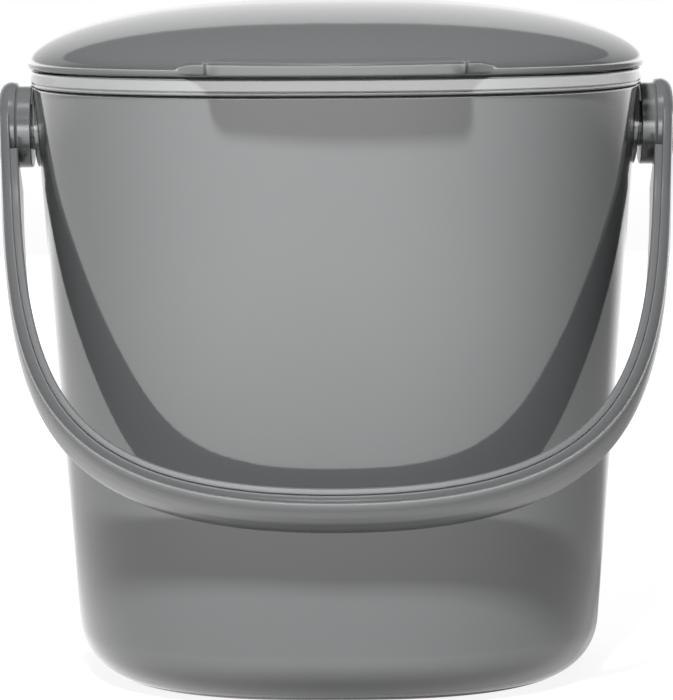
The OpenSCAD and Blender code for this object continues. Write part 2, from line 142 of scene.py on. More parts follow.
REST_NEAR = LEAN * STRAP_IN - STRAP_REAR
REST_WALL = outer_a(PIVOT_Z) - DEPTH_LESS / 2 + FREE_GAP / math.cos(LEAN_ANGLE)
REST_ANGLE = math.asin(REST_WALL / math.hypot(REST_FAR, REST_NEAR)) - math.atan2(REST_NEAR, REST_FAR)

# Points around a moulding and around turned pieces, and the angle from which an edge is a crease
AROUND, FINE_TURN, LARGE_TURN, BORE_TURN = 288, 96, 128, 64
SHARP = math.radians(32)

# A profile's corner takes at most CUT_SHARE of a run beside it, and its curve is drawn to the corner by
# CORNER_PULL. A point HOLD beyond each end keeps the flats flat in the shading, if the run is HOLD_ROOM
# times as long as both, and a run over LONG_RUN is divided
CUT_SHARE, CORNER_STEPS, CORNER_PULL, CORNER_SLACK = 0.46, 6, 0.94, 0.06
HOLD, HOLD_ROOM, LONG_RUN = 0.16, 2.4, 9.0

# Half width within which a plan's width and depth draw together
AXIS_REACH = 12.0


# Node trees

class Graph:
    """Short calls for adding nodes to a tree and joining them."""

    def __init__(self, tree):
        self.tree = tree

    def add(self, kind, **settings):
        node = self.tree.nodes.new(kind)
        for name, value in settings.items():
            setattr(node, name, value)
        return node

    def put(self, value, socket):
        """Join a socket to an input, or set the input's own value."""
        if isinstance(value, bpy.types.NodeSocket):
            self.tree.links.new(value, socket)
        else:
            socket.default_value = value

    def math(self, operation, *values):
        node = self.add("ShaderNodeMath", operation=operation)
        for value, socket in zip(values, node.inputs):
            self.put(value, socket)
        return node.outputs[0]

    def plus(self, first, second):
        return self.math("ADD", first, second)

    def minus(self, first, second):
        return self.math("SUBTRACT", first, second)

    def times(self, first, second):
        return self.math("MULTIPLY", first, second)

    def over(self, first, second):
        return self.math("DIVIDE", first, second)

    def vector(self, operation, *values):
        node = self.add("ShaderNodeVectorMath", operation=operation)
        for value, socket in zip(values, node.inputs):
            self.put(value, socket)
        return node.outputs["Value" if operation in ("DOT_PRODUCT", "LENGTH") else "Vector"]

    def xyz(self, x, y, z):
        node = self.add("ShaderNodeCombineXYZ")
        for value, socket in zip((x, y, z), node.inputs):
            self.put(value, socket)
        return node.outputs[0]

    def split(self, vector):
        node = self.add("ShaderNodeSeparateXYZ")
        self.put(vector, node.inputs[0])
        return node.outputs


def new_tree(name, kind, inputs, outputs):
    """A node group with named sockets, and the nodes that stand for its two ends."""
    tree = bpy.data.node_groups.new(name, kind)
    for socket_name, sort, value in inputs:
        socket = tree.interface.new_socket(socket_name, in_out="INPUT", socket_type="NodeSocket" + sort)
        if value is not None:
            socket.default_value = value
    for socket_name, sort in outputs:
        tree.interface.new_socket(socket_name, in_out="OUTPUT", socket_type="NodeSocket" + sort)
    graph = Graph(tree)
    return graph, graph.add("NodeGroupInput").outputs, graph.add("NodeGroupOutput").inputs


def sample(graph, geometry, data_type, value, index):
    node = graph.add("GeometryNodeSampleIndex", data_type=data_type)
    graph.put(geometry, node.inputs["Geometry"])
    graph.put(value, node.inputs["Value"])
    graph.put(index, node.inputs["Index"])
    return node.outputs[0]


def carried(graph, geometry, name, index, data_type="FLOAT"):
    """A named value that a geometry's point carries."""
    node = graph.add("GeometryNodeInputNamedAttribute", data_type=data_type)
    node.inputs["Name"].default_value = name
    return sample(graph, geometry, data_type, node.outputs["Attribute"], index)


def finish_tree(graph, mesh, position, given, out):
    """Move the grid's points, close its seam, and end in realized instances with their material."""
    steps = [("SetPosition", {"Position": position}),
             ("MergeByDistance", {"Distance": given["Merge Distance"]}),
             ("SetShadeSmooth", {}),
             ("RealizeInstances", {}),
             ("SetMaterial", {"Material": given["Material"]})]
    for kind, values in steps:
        node = graph.add("GeometryNode" + kind)
        graph.put(mesh, node.inputs["Geometry"])
        for name, value in values.items():
            graph.put(value, node.inputs[name])
        mesh = node.outputs[0]
    graph.put(mesh, out["Geometry"])


def grid_of(graph, columns, rows):
    """A grid of points, with the column and row of each."""
    grid = graph.add("GeometryNodeMeshGrid")
    graph.put(columns, grid.inputs["Vertices X"])
    graph.put(rows, grid.inputs["Vertices Y"])
    index = graph.add("GeometryNodeInputIndex").outputs[0]
    column = graph.math("FLOOR", graph.over(graph.plus(index, 0.5), rows))
    row = graph.minus(index, graph.times(column, rows))
    return grid.outputs["Mesh"], column, row


def count_points(graph, geometry):
    size = graph.add("GeometryNodeAttributeDomainSize", component="MESH")
    graph.put(geometry, size.inputs[0])
    return size.outputs["Point Count"]


def rounded_square_tree():
    """Turns a profile, whose points hold half width, half depth and height, into a rounded-square piece."""
    graph, given, out = new_tree("rounded_square_moulding", "GeometryNodeTree", [
        ("Geometry", "Geometry", None),
        ("Points Around", "Int", AROUND),
        ("Least Half Width", "Float", 2e-6),
        ("Merge Distance", "Float", 8e-6),
        ("Material", "Material", None),
    ], [("Geometry", "Geometry")])
    profile = given["Geometry"]
    rows = count_points(graph, profile)
    columns = graph.plus(given["Points Around"], 1)
    mesh, column, row = grid_of(graph, columns, rows)
    place = graph.add("GeometryNodeInputPosition").outputs[0]
    a, b, z = graph.split(sample(graph, profile, "FLOAT_VECTOR", place, row))
    square = carried(graph, profile, "square", row)
    turn = graph.times(graph.over(column, given["Points Around"]), math.tau)
    reach = []
    for wave, half in (("COSINE", a), ("SINE", b)):
        least = graph.math("MAXIMUM", half, given["Least Half Width"])
        share = graph.over(graph.math(wave, turn), least)
        reach.append(graph.math("POWER", graph.math("ABSOLUTE", share), square))
    radius = graph.math("POWER", graph.plus(*reach), graph.over(-1, square))
    x = graph.times(radius, graph.math("COSINE", turn))
    y = graph.times(radius, graph.math("SINE", turn))
    finish_tree(graph, mesh, graph.xyz(x, y, z), given, out)
    return graph.tree


def strap_tree():
    """Sweeps a section along the bail's ridge, while the strap widens into its heads and thins at its middle.

    A section point lies across the strap at side * half width + curl * corner + nudge, and outwards from the
    ridge at rise * corner + lift - depth * thickness."""
    graph, given, out = new_tree("swept_strap", "GeometryNodeTree", [
        ("Geometry", "Geometry", None),
        ("Section", "Object", None),
        ("Corner Share", "Float", 0.0),
        ("Shell Under", "Float", 0.0),
        ("Merge Distance", "Float", 8e-6),
        ("Material", "Material", None),
    ], [("Geometry", "Geometry")])
    path = given["Geometry"]
    section = graph.add("GeometryNodeObjectInfo")
    graph.put(given["Section"], section.inputs["Object"])
    section = section.outputs["Geometry"]
    rows = count_points(graph, section)
    mesh, column, row = grid_of(graph, count_points(graph, path), rows)
    place = graph.add("GeometryNodeInputPosition").outputs[0]
    ridge = sample(graph, path, "FLOAT_VECTOR", place, column)
    along = carried(graph, path, "along", column, "FLOAT_VECTOR")
    half = carried(graph, path, "half_width", column)
    thick = carried(graph, path, "thickness", column)
    outer = graph.minus(thick, given["Shell Under"])
    corner = graph.minus(outer, given["Corner Share"])
    side, curl, nudge = graph.split(carried(graph, section, "across", row, "FLOAT_VECTOR"))
    rise, lift, deep = graph.split(carried(graph, section, "outward", row, "FLOAT_VECTOR"))
    whole = carried(graph, section, "whole", row)
    depth = graph.plus(graph.times(outer, graph.minus(1, whole)), graph.times(thick, whole))
    across = graph.plus(graph.times(side, half), graph.plus(graph.times(curl, corner), nudge))
    outward = graph.minus(graph.plus(graph.times(rise, corner), lift), graph.times(deep, depth))
    heading = graph.split(along)
    x = graph.times(outward, heading[2])
    z = graph.times(graph.times(outward, -1), heading[0])
    offset = graph.xyz(x, graph.times(across, -1), z)
    finish_tree(graph, mesh, graph.vector("ADD", ridge, offset), given, out)
    return graph.tree


# Meshes

def new_object(name, data):
    """An object of a mesh, lamp or camera, in the scene."""
    piece = bpy.data.objects.new(name, data)
    bpy.context.scene.collection.objects.link(piece)
    return piece


def from_bmesh(name, bm):
    """A new piece with the mesh that a bmesh holds."""
    mesh = bpy.data.meshes.new(name)
    bm.to_mesh(mesh)
    bm.free()
    return new_object(name, mesh)


def remove(piece):
    bpy.data.objects.remove(piece, do_unlink=True)


def settle(piece):
    """Replace a piece's mesh by what its modifiers make of it."""
    bpy.context.view_layer.update()
    evaluated = piece.evaluated_get(bpy.context.evaluated_depsgraph_get())
    mesh = bpy.data.meshes.new_from_object(evaluated)
    piece.modifiers.clear()
    piece.data = mesh
    return piece


def edit(piece, change):
    """Change a piece's mesh as a bmesh."""
    bm = bmesh.new()
    bm.from_mesh(piece.data)
    change(bm)
    bm.to_mesh(piece.data)
    bm.free()
    return piece


def close_up(bm):
    """Fill the open ends and turn all faces outwards."""
    rim = [e for e in bm.edges if len(e.link_faces) == 1]
    if rim:
        bmesh.ops.holes_fill(bm, edges=rim, sides=0)
    bmesh.ops.recalc_face_normals(bm, faces=bm.faces)
    if bm.calc_volume(signed=True) < 0:
        bmesh.ops.reverse_faces(bm, faces=bm.faces)


def crease(bm):
    """Smooth faces, with a sharp edge where two of them meet at an angle."""
    for face in bm.faces:
        face.smooth = True
    for e in bm.edges:
        e.smooth = len(e.link_faces) != 2 or e.calc_face_angle(0) < SHARP


def line_mesh(name, points, attributes):
    """A mesh of points only, with named values on them."""
    mesh = bpy.data.meshes.new(name)
    mesh.from_pydata([[c * MM for c in p] for p in points], [], [])
    for key, values in attributes.items():
        many = isinstance(values[0], (tuple, list))
        layer = mesh.attributes.new(key, "FLOAT_VECTOR" if many else "FLOAT", "POINT")
        for item, value in zip(layer.data, values):
            if many:
                item.vector = value
            else:
                item.value = value
    return mesh


def with_tree(piece, tree, values):
    """Run a geometry node tree on a piece, with its inputs set by the sockets' identifiers."""
    modifier = piece.modifiers.new("form", "NODES")
    modifier.node_group = tree
    for item in tree.interface.items_tree:
        if item.item_type == "SOCKET" and item.in_out == "INPUT" and item.name in values:
            modifier[item.identifier] = values[item.name]
    settle(piece)
    return edit(piece, close_up)


def arc(a, z, radius, start, end, steps):
    """Points of an arc around (a, z), from one angle to another in degrees."""
    turns = [math.radians(start + (end - start) * k / steps) for k in range(steps + 1)]
    return [(a + radius * math.cos(t), z + radius * math.sin(t), 0) for t in turns]


def rounded(points, closed=False):
    """Profile points (a, z, radius of the corner), with the corners rounded, held, and long runs divided."""
    count = len(points)
    out = []
    for i, (a, z, radius) in enumerate(points):
        here = Vector((a, z))
        if radius <= 0 or (not closed and i in (0, count - 1)):
            out.append(here)
            continue
        before = Vector(points[i - 1][:2]) - here
        after = Vector(points[(i + 1) % count][:2]) - here
        half = before.angle(after) / 2
        cut = min(radius / math.tan(half), CUT_SHARE * before.length, CUT_SHARE * after.length)
        start, end = here + before.normalized() * cut, here + after.normalized() * cut
        if before.length > HOLD_ROOM * (cut + HOLD):
            out.append(start + before.normalized() * HOLD)
        for k in range(CORNER_STEPS + 1):
            u = k / CORNER_STEPS
            out.append(start * (1 - u) ** 2 + here * (2 * u * (1 - u) * CORNER_PULL) + end * u ** 2
                       + (start + end) * (CORNER_SLACK * u * (1 - u)))
        if after.length > HOLD_ROOM * (cut + HOLD):
            out.append(end + after.normalized() * HOLD)
    full = []
    for i, here in enumerate(out):
        full.append(here)
        if closed or i < len(out) - 1:
            there = out[(i + 1) % len(out)]
            parts = max(1, round((there - here).length / LONG_RUN))
            full += [here.lerp(there, k / parts) for k in range(1, parts)]
    if closed:
        full.append(full[0])
    return [tuple(p) for p in full]


def half_depth(a):
    """Half depth of a plan of half width a. Near the axis the two draw together."""
    return max(0.0, a - DEPTH_LESS / 2 * min(1.0, a / AXIS_REACH))


def moulding(name, profile, square=SQUARE_TOP):
    """A rounded-square piece from a profile of half widths and heights."""
    points = [(a, half_depth(a), z) for a, z in profile]
    squares = [square(p[2]) if callable(square) else square for p in points]
    piece = new_object(name, line_mesh(name, points, {"square": squares}))
    return with_tree(piece, TREES["moulding"], {"Points Around": AROUND})


def turned(name, outline, around=FINE_TURN, closed=False):
    """A piece turned around the X axis from (x, radius) points, which end on the axis or close up."""
    bm = bmesh.new()
    turns = [math.tau * k / around for k in range(around)]
    rings = []
    for x, radius in outline:
        if radius < 1e-6:
            rings.append([bm.verts.new((x * MM, 0, 0))])
        else:
            r = radius * MM
            rings.append([bm.verts.new((x * MM, r * math.cos(t), r * math.sin(t))) for t in turns])
    pairs = list(zip(rings, rings[1:] + rings[:1] if closed else rings[1:]))
    for low, high in pairs:
        for k in range(around):
            after = k + 1
            corners = [low[k % len(low)], low[after % len(low)],
                       high[after % len(high)], high[k % len(high)]]
            corners = list(dict.fromkeys(corners))
            if len(corners) > 2:
                bm.faces.new(corners)
    close_up(bm)
    return from_bmesh(name, bm)


def prism(name, outline, x0, x1, bevel):
    """A plate with a (y, z) outline between two places on X, with its edges eased."""
    bm = bmesh.new()
    face = bm.faces.new([bm.verts.new((min(x0, x1) * MM, y * MM, z * MM)) for y, z in outline])
    grown = bmesh.ops.extrude_face_region(bm, geom=[face])
    moved = [v for v in grown["geom"] if isinstance(v, bmesh.types.BMVert)]
    bmesh.ops.translate(bm, verts=moved, vec=(abs(x1 - x0) * MM, 0, 0))
    bmesh.ops.recalc_face_normals(bm, faces=bm.faces)
    piece = from_bmesh(name, bm)
    modifier = piece.modifiers.new("ease", "BEVEL")
    modifier.width = bevel * MM
    modifier.segments = 3
    modifier.limit_method = "ANGLE"
    modifier.angle_limit = SHARP
    settle(piece)
    return edit(piece, close_up)


def place(piece, matrix):
    piece.data.transform(matrix)
    return piece


def shift(x=0.0, y=0.0, z=0.0):
    return Matrix.Translation((x * MM, y * MM, z * MM))


def joined(piece, tools, operation="UNION"):
    """Join other solids to a piece or cut them from it, and remove them."""
    for tool in tools:
        modifier = piece.modifiers.new("join", "BOOLEAN")
        modifier.operation = operation
        modifier.object = tool
        modifier.solver = "EXACT"
    settle(piece)
    for tool in tools:
        remove(tool)
    return piece


def even(piece):
    """Shading that follows the large faces, with creases kept."""
    edit(piece, lambda bm: bmesh.ops.remove_doubles(bm, verts=bm.verts, dist=2e-6))
    edit(piece, crease)
    modifier = piece.modifiers.new("even", "WEIGHTED_NORMAL")
    modifier.keep_sharp = True
    modifier.weight = 50
    return settle(piece)


TREES = {"moulding": rounded_square_tree(), "strap": strap_tree()}


# Bucket. A profile's points are half width, height and the radius of the corner

def make_bucket():
    profile = [(0, 0, 0), (PAD_A, 0, 0.4), (PAD_A + FOOT_HOLLOW, FOOT_HOLLOW, 0.4),
               (ARC_A - FOOT_W - FOOT_HOLLOW, FOOT_HOLLOW, 0.4), (ARC_A - FOOT_W, 0, 0.5)]
    profile += arc(ARC_A, BASE_ROUND, BASE_ROUND, -90, -WALL_LEAN, 20)
    profile += [(SHOULDER_A, SHOULDER_H, 0.45), (LIP_A, SHOULDER_H, 0.25), (LIP_A, LIP_TOP, 0.3),
                (SHOULDER_A - WALL, LIP_TOP, 0.3)]
    profile += arc(INNER_ARC_A, INNER_FLOOR + INNER_ROUND, INNER_ROUND, -WALL_LEAN, -90, 16)
    profile += [(0, INNER_FLOOR, 0)]
    bucket = moulding("bucket_moulding", rounded(profile), square_at)
    extras = []
    for side in (-1, 1):
        boss = turned("boss", [(-BOSS_ROOT, 0), (-BOSS_ROOT, BOSS_R), (-0.3, BOSS_R),
                               (-0.1, BOSS_R - 0.08), (0, BOSS_R - 0.3), (0, 0)], LARGE_TURN)
        place(boss, shift(BOSS_A, 0, PIVOT_Z) @ Matrix.Rotation(math.radians(BOSS_LEAN), 4, "Y"))
        root, bottom = BOSS_A - BOSS_ROOT, BOSS_A + 0.1
        peg = turned("peg", [(root, PEG_R), (PEG_END - 0.2, PEG_R), (PEG_END, PEG_R - 0.2),
                             (PEG_END, STEM_R), (bottom, STEM_R), (bottom, 0), (root, 0)], closed=True)
        place(peg, shift(z=PIVOT_Z))
        for tool in (boss, peg):
            if side < 0:
                place(tool, Matrix.Scale(-1, 4, (1, 0, 0)))
                edit(tool, close_up)
            extras.append(tool)
    return even(joined(bucket, extras))


# Rim ring

# Easing of the hinge's plates, the place within the ring where a lug's outline starts, and how far
# the block that frees the ring's inside stands past it
HINGE_EASE, LUG_ROOT, CORE_SPARE = 0.35, 60.0, 4.0


def eye(start, end):
    """Points around a hinge eye from one angle to another, in degrees from +Y."""
    return [(y, z) for y, z, _ in arc(HINGE_Y, HINGE_Z, KNUCKLE_R, start, end, 28)]


def hinge_plates(name, outline, middle, width):
    """The left and the right plate of a hinge outline, as wide as given around its middle."""
    return [prism(name, outline, side * (middle - width / 2), side * (middle + width / 2), HINGE_EASE)
            for side in (-1, 1)]


def bore(side, x0, x1, radius, around):
    """A round cutter on the X axis, on one side of the caddy."""
    outline = [(x0, 0), (x0, radius), (x1, radius), (x1, 0)]
    return turned("bore", [(side * x, r) for x, r in outline], around)


def pin_bores(x0, x1, radius):
    """Cutters for the left and the right pin."""
    return [place(bore(side, x0, x1, radius, BORE_TURN), shift(0, HINGE_Y, HINGE_Z)) for side in (-1, 1)]


def make_ring():
    bead = RING_Z + RING_BEAD
    profile = [(RING_A - RING_T, RING_Z, 0.2), (RING_A, RING_Z, 0.45), (RING_A, bead - GROOVE / 2, 0.25),
               (RING_A - BEAD_DIP, bead, 0.08), (RING_A, bead + GROOVE / 2, 0.15), (RING_A, RING_TOP, 0.55),
               (SKIRT_IN_A, RING_TOP, 0.6), (SKIRT_IN_A, SKIRT_Z, 0.3), (SKIRT_A, SKIRT_Z, 0.3),
               (SKIRT_A, LIP_TOP, 0), (RING_A - RING_T, LIP_TOP, 0.1)]
    ring = moulding("rim_ring_moulding", rounded(profile, closed=True))
    inside, below, above = RING_A - RING_T / 2, RING_Z - CORE_SPARE, RING_TOP + CORE_SPARE
    core = moulding("core", [(0, below), (inside, below), (inside, above), (0, above)])
    low, high = bead + GROOVE, RING_TOP - EDGE
    outline = [(LUG_ROOT, low), (HINGE_Y - 1.6 * KNUCKLE_R, low)] + eye(250, 475)
    outline += [(HINGE_Y - 2.1 * KNUCKLE_R, high), (LUG_ROOT, high)]
    lugs = []
    for lug in hinge_plates("lug", outline, LUG_X, LUG_W):
        cut = new_object("cut", core.data.copy())
        lugs.append(joined(lug, [cut], "DIFFERENCE"))
    remove(core)
    joined(ring, lugs)
    holes = pin_bores(PIN_X - PIN_LEN / 2, HINGE_SPAN / 2 + 1, PIN_R)
    return even(joined(ring, holes, "DIFFERENCE"))


# Lid

def nose_y(x):
    return LID_B * (1 - (min(abs(x), LID_A) / LID_A) ** SQUARE_TOP) ** (1 / SQUARE_TOP)


def smooth_step(x):
    x = min(1.0, max(0.0, x))
    return x * x * (3 - 2 * x)


# The dome's curve: powers for its fall and its fullness, and for the spacing of its points
DOME_FALL, DOME_FULL, DOME_SPACING = 2.5, 0.58, 1.7


def dome_rows(half, base, rise, steps):
    """Points of the dome's curve, close together near its edge."""
    shares = [1 - (k / steps) ** DOME_SPACING for k in range(1, steps + 1)]
    return [(half * s, base + rise * (1 - s ** DOME_FALL) ** DOME_FULL, 0) for s in shares]


# The tab: draw of its lower edge, bow of its front with its power, the share of a flare after which its
# top falls, and where its root lies in the lid's wall
TAB_DRAFT, TAB_BOW, BOW_POWER = 0.15, 5.0, 2.2
FALL_START, ROOT_NARROW, ROOT_IN = 0.18, 0.96, 2.3
TAB_CLIMB = TAB_RISE / TAB_REACH
FLARE_IN = min(FLARE_D, TAB_FRONT - TAB_BOW - TAB_CORNER - EDGE - nose_y(TAB_W / 2))
FALL_X0, FALL_X1 = TAB_W / 2 + FALL_START * FLARE_W, TAB_W / 2 + FLARE_W


def bow_back(x):
    """How far the tab's front lies behind its middle, at x."""
    return TAB_BOW * (abs(x) / (TAB_W / 2)) ** BOW_POWER


def tab_top(x, y):
    """Height of the tab's top, which climbs to the lid at its middle and falls to the nose at its flares."""
    climb = TAB_CLIMB * (y + TAB_FRONT) * (1 - smooth_step((abs(x) - TAB_W / 2 + 6) / 8))
    fall = (TAB_Z + TAB_T - NOSE_Z + GROOVE) * smooth_step((abs(x) - FALL_X0) / (FALL_X1 - FALL_X0))
    return TAB_Z + TAB_T + climb - fall


def tab_half(i):
    """Right half of the tab's outline, drawn in by i, from its root to the middle of its front."""
    out = []
    for k in range(19):
        t = math.radians(90 - 5 * k)
        x = TAB_W / 2 + FLARE_W * (1 - math.cos(t))
        out.append((x - i * math.cos(t), (i + EDGE) * math.sin(t) - nose_y(x) - FLARE_IN * (1 - math.sin(t))))
    for k in range(13):
        t = math.radians(-7.5 * k)
        r = TAB_CORNER - i
        x = TAB_W / 2 - TAB_CORNER + r * math.cos(t)
        out.append((x, TAB_CORNER - TAB_FRONT + r * math.sin(t) + bow_back(x)))
    steps = [(TAB_W / 2 - TAB_CORNER) * (1 - k / 14) for k in range(1, 14)]
    return out + [(x, i - TAB_FRONT + bow_back(x)) for x in steps]


def tab_line(i):
    half = tab_half(i)
    return half + [(0, i - TAB_FRONT)] + [(-x, y) for x, y in reversed(half)]


def tab_edge(outer, turn, upper):
    """One line of points around the tab's rounded edge, at a turn in degrees from level."""
    t = math.radians(turn)
    line = []
    for k, (x, y) in enumerate(outer):
        e = min(TAB_EDGE, 0.42 * (tab_top(x, y) - TAB_Z))
        inner = tab_line(e * (1 - math.cos(t)) + (0 if upper else TAB_DRAFT))[k]
        height = (tab_top(*inner) - e if upper else TAB_Z + e) + e * math.sin(t)
        line.append((inner[0], inner[1], height))
    return line


def make_tab():
    """The finger tab: a slab with a rounded edge, which flares into the nose and is rooted in the wall."""
    outer = tab_line(0)
    roots = [(ROOT_NARROW * x, -nose_y(ROOT_NARROW * x) + ROOT_IN) for x, _ in outer]

    def towards_root(line, share):
        return [(x + share * (q[0] - x), y + share * (q[1] - y)) for (x, y, _), q in zip(line, roots)]
    lower = [tab_edge(outer, turn, False) for turn in range(-90, 1, 18)]
    upper = [tab_edge(outer, turn, True) for turn in range(0, 91, 18)]
    rows = [[(x, y, TAB_Z) for x, y in line] for line in (roots, towards_root(lower[0], 0.1))]
    rows += lower + upper
    for share in (0.04, 0.12, 0.25, 0.4, 0.55, 0.7, 0.85, 1.0):
        rows.append([(x, y, tab_top(x, y)) for x, y in towards_root(upper[-1], share)])
    bm = bmesh.new()
    grid = [[bm.verts.new([c * MM for c in p]) for p in line] for line in rows]
    for low, high in zip(grid, grid[1:] + grid[:1]):
        for k in range(len(low) - 1):
            bm.faces.new([low[k], low[k + 1], high[k + 1], high[k]])
    close_up(bm)
    return from_bmesh("tab", bm)


def make_lid():
    profile = [(RIM_IN_A, LEDGE_Z, 0.1), (RIM_IN_A, LID_Z, 0.3), (RIM_OUT_A - 0.5, LID_Z, 0)]
    nose = [math.radians(-90 + 9 * k) for k in range(11)]
    profile += [(RIM_OUT_A + NOSE_OUT * math.cos(t), LID_Z + NOSE_H * (1 + math.sin(t)), 0) for t in nose]
    profile += dome_rows(LID_A, NOSE_Z, DOME_RISE, 44)
    inside = dome_rows(LEDGE_A, LEDGE_Z, LID_TOP - LID_T - LEDGE_Z, 30)
    profile += list(reversed(inside)) + [(LEDGE_A, LEDGE_Z, 0.3)]
    lid = moulding("lid_moulding", rounded(profile) + [(RIM_IN_A, LEDGE_Z)])
    root = nose_y(HINGE_SPAN / 2) + 0.6
    outline = [(root, NOSE_Z - NOSE_H / 2), (root, NOSE_Z + 0.9 * LID_T),
               (LID_B + HINGE_BACK, NOSE_Z + 0.7 * LID_T)]
    outline += eye(50, -210)
    joined(lid, [make_tab()] + hinge_plates("knuckle", outline, KNUCKLE_X, KNUCKLE_W))
    holes = pin_bores(PIN_X - PIN_LEN / 2 - FREE_GAP, LUG_X, PIN_R + RUN_GAP)
    return even(joined(lid, holes, "DIFFERENCE"))


def make_liner():
    profile = [(0, PLATE_Z, 0), (PLUG_A - LINER_T - 3, PLATE_Z, 2.0), (PLUG_A - LINER_T, PLATE_Z - EDGE, 0.8),
               (PLUG_A - LINER_T, PLATE_Z - PLUG_DROP, 0.5), (PLUG_A, PLATE_Z - PLUG_DROP, 0.6),
               (PLUG_A, PLATE_Z, 0.2), (PLATE_A, PLATE_Z, 0.25), (PLATE_A, LEDGE_Z, 0.2), (0, LEDGE_Z, 0)]
    return even(moulding("lid_liner_moulding", rounded(profile)))


def make_seal():
    low = PLATE_Z - SEAL_T
    profile = [(SEAL_IN_A, low, 0.3), (SEAL_OUT_A, low, 0.3), (SEAL_OUT_A, PLATE_Z, 0.1),
               (SEAL_IN_A, PLATE_Z, 0.1)]
    return even(moulding("seal_ring", rounded(profile, closed=True)))


# Bail

BAIL_LEFT = [Vector((-BAIL_A, 0)), Vector((BAIL_DRAW - BAIL_A, -BAIL_PULL * BAIL_REACH)),
             Vector((-BAIL_SQUARE * BAIL_A, -BAIL_REACH)), Vector((0, -BAIL_REACH))]
BAIL_RIGHT = [Vector((-p.x, p.y)) for p in reversed(BAIL_LEFT)]


def ridge(t):
    """Place and heading of the bail's ridge at share t from the left pivot to the right."""
    p, u = (BAIL_LEFT, 2 * t) if t < 0.5 else (BAIL_RIGHT, 2 * t - 1)
    v = 1 - u
    spot = p[0] * v ** 3 + p[1] * (3 * u * v * v) + p[2] * (3 * u * u * v) + p[3] * u ** 3
    slope = (p[1] - p[0]) * (v * v) + (p[2] - p[1]) * (2 * u * v) + (p[3] - p[2]) * (u * u)
    return spot, slope.normalized()


def strap_path(shares):
    """The bail's ridge as points that carry its heading, half width and thickness."""
    spots = [ridge(t) for t in shares]
    widths = []
    for spot, _ in spots:
        neck = 1 - smooth_step((-spot.y - NECK_START) / NECK_LEN)
        widths.append((STRAP_W / 2 + (NECK_W - STRAP_W / 2) * neck) * MM)
    thicks = [(GRIP_T + (ARM_T - GRIP_T) * (1 - 2 * t) ** 2) * MM for t in shares]
    return new_object("path", line_mesh("path", [(s.x, 0, s.y) for s, _ in spots], {
        "along": [(h.x, 0.0, h.y) for _, h in spots], "half_width": widths, "thickness": thicks}))


def section(points):
    """A closed strap section; each point is (side, curl, nudge, rise, lift, depth, whole)."""
    points = points + points[:1]
    return new_object("section", line_mesh("section", [(0, 0, k) for k in range(len(points))], {
        "across": [(p[0], p[1], p[2] * MM) for p in points],
        "outward": [(p[3], p[4] * MM, p[5]) for p in points],
        "whole": [float(p[6]) for p in points]}))


def mirrored(half, middle):
    """A whole section from its half, its middle points and the half's mirror image."""
    return half + middle + [(-p[0], -p[1], -p[2]) + p[3:] for p in reversed(half)]


AT_REST = shift(z=PIVOT_Z) @ Matrix.Rotation(-REST_ANGLE, 4, "X")
ALONG = [k / 180 for k in range(181)]


def strap(name, shares, points):
    """A section swept along the bail's ridge."""
    piece = strap_path(shares)
    piece.name = name
    cut = section(points)
    with_tree(piece, TREES["strap"], {
        "Section": cut, "Corner Share": STRAP_CORNER * MM, "Shell Under": STRIP_T * MM})
    remove(cut)
    return piece


def bow_half():
    """Half of the bow's section, from its inner edge around its corner to beside the ridge."""
    crown = STRAP_CROWN
    small = 0.25
    out = [(1, 0, -crown - small, 0, 0, 1, 0), (1, 0, -crown - 0.08, 0, 0.08, 1, 0),
           (1, 0, -crown, 0, small, 1, 0), (1, 0, -crown, 0, small + 0.15, 1, 0)]
    steps = 12
    for k in range(steps + 1):
        t = math.radians(90 * k / steps)
        out.append((1, math.cos(t) - 1, -crown, math.sin(t) - 1, -crown, 0, 0))
    return out + [(s, 0, 0, 0, -crown * abs(s) ** 1.15, 0, 0) for s in (0.45, 0.3, 0.15, 0.06, 0.02)]


def head_outline():
    """A hub and its head as (x, radius) points, with a fillet between them and a rounded outer edge."""
    outline = [(HUB_IN, 0), (HUB_IN, HUB_R - 0.3), (HUB_IN + 0.1, HUB_R - 0.09), (HUB_IN + 0.3, HUB_R)]
    for k in range(9):
        t = math.radians(180 - 11.25 * k)
        outline.append((HEAD_IN - HUB_FILLET * (1 - math.sin(t)), HUB_R + HUB_FILLET * (1 + math.cos(t))))
    for k in range(19):
        t = math.radians(5 * k)
        outline.append((BAIL_A - HEAD_ROUND * (1 - math.sin(t)), HEAD_R - HEAD_ROUND * (1 - math.cos(t))))
    return outline + [(BAIL_A, 0)]


def make_bow():
    bow = strap("handle_bow_moulding", ALONG, mirrored(bow_half(), [(0, 0, 0, 0, -0.01, 0, 0)]))
    heads, cutters = [], []
    for side in (-1, 1):
        heads.append(turned("head", [(side * x, r) for x, r in head_outline()], LARGE_TURN))
        cutters.append(bore(side, HUB_IN - 1, BAIL_A, PEG_R + RUN_GAP, FINE_TURN))
        cutters.append(bore(side, PEG_END - FREE_GAP, BAIL_A + 1, CAP_R + FREE_GAP, FINE_TURN))
    joined(bow, heads)
    joined(bow, cutters, "DIFFERENCE")
    return even(place(bow, AT_REST))


def make_strip():
    shares = [t for t in ALONG if -ridge(t)[0].y > HEAD_R + 1]
    e = STRIP_EDGE
    half = [(1, 0, -e - 0.12, 0, 0, 1, 1), (1, 0, -e, 0, 0, 1, 1), (1, 0, -0.3 * e, 0, 0.3 * e, 1, 1),
            (1, 0, 0, 0, e, 1, 1), (1, 0, 0, 0, e + 0.12, 1, 1), (1, 0, 0, 0, -0.25, 1, 0),
            (1, 0, -0.05, 0, -0.08, 1, 0), (1, 0, -0.22, 0, 0, 1, 0)]
    return even(place(strap("handle_inner_strip_moulding", shares, mirrored(half, [])), AT_REST))


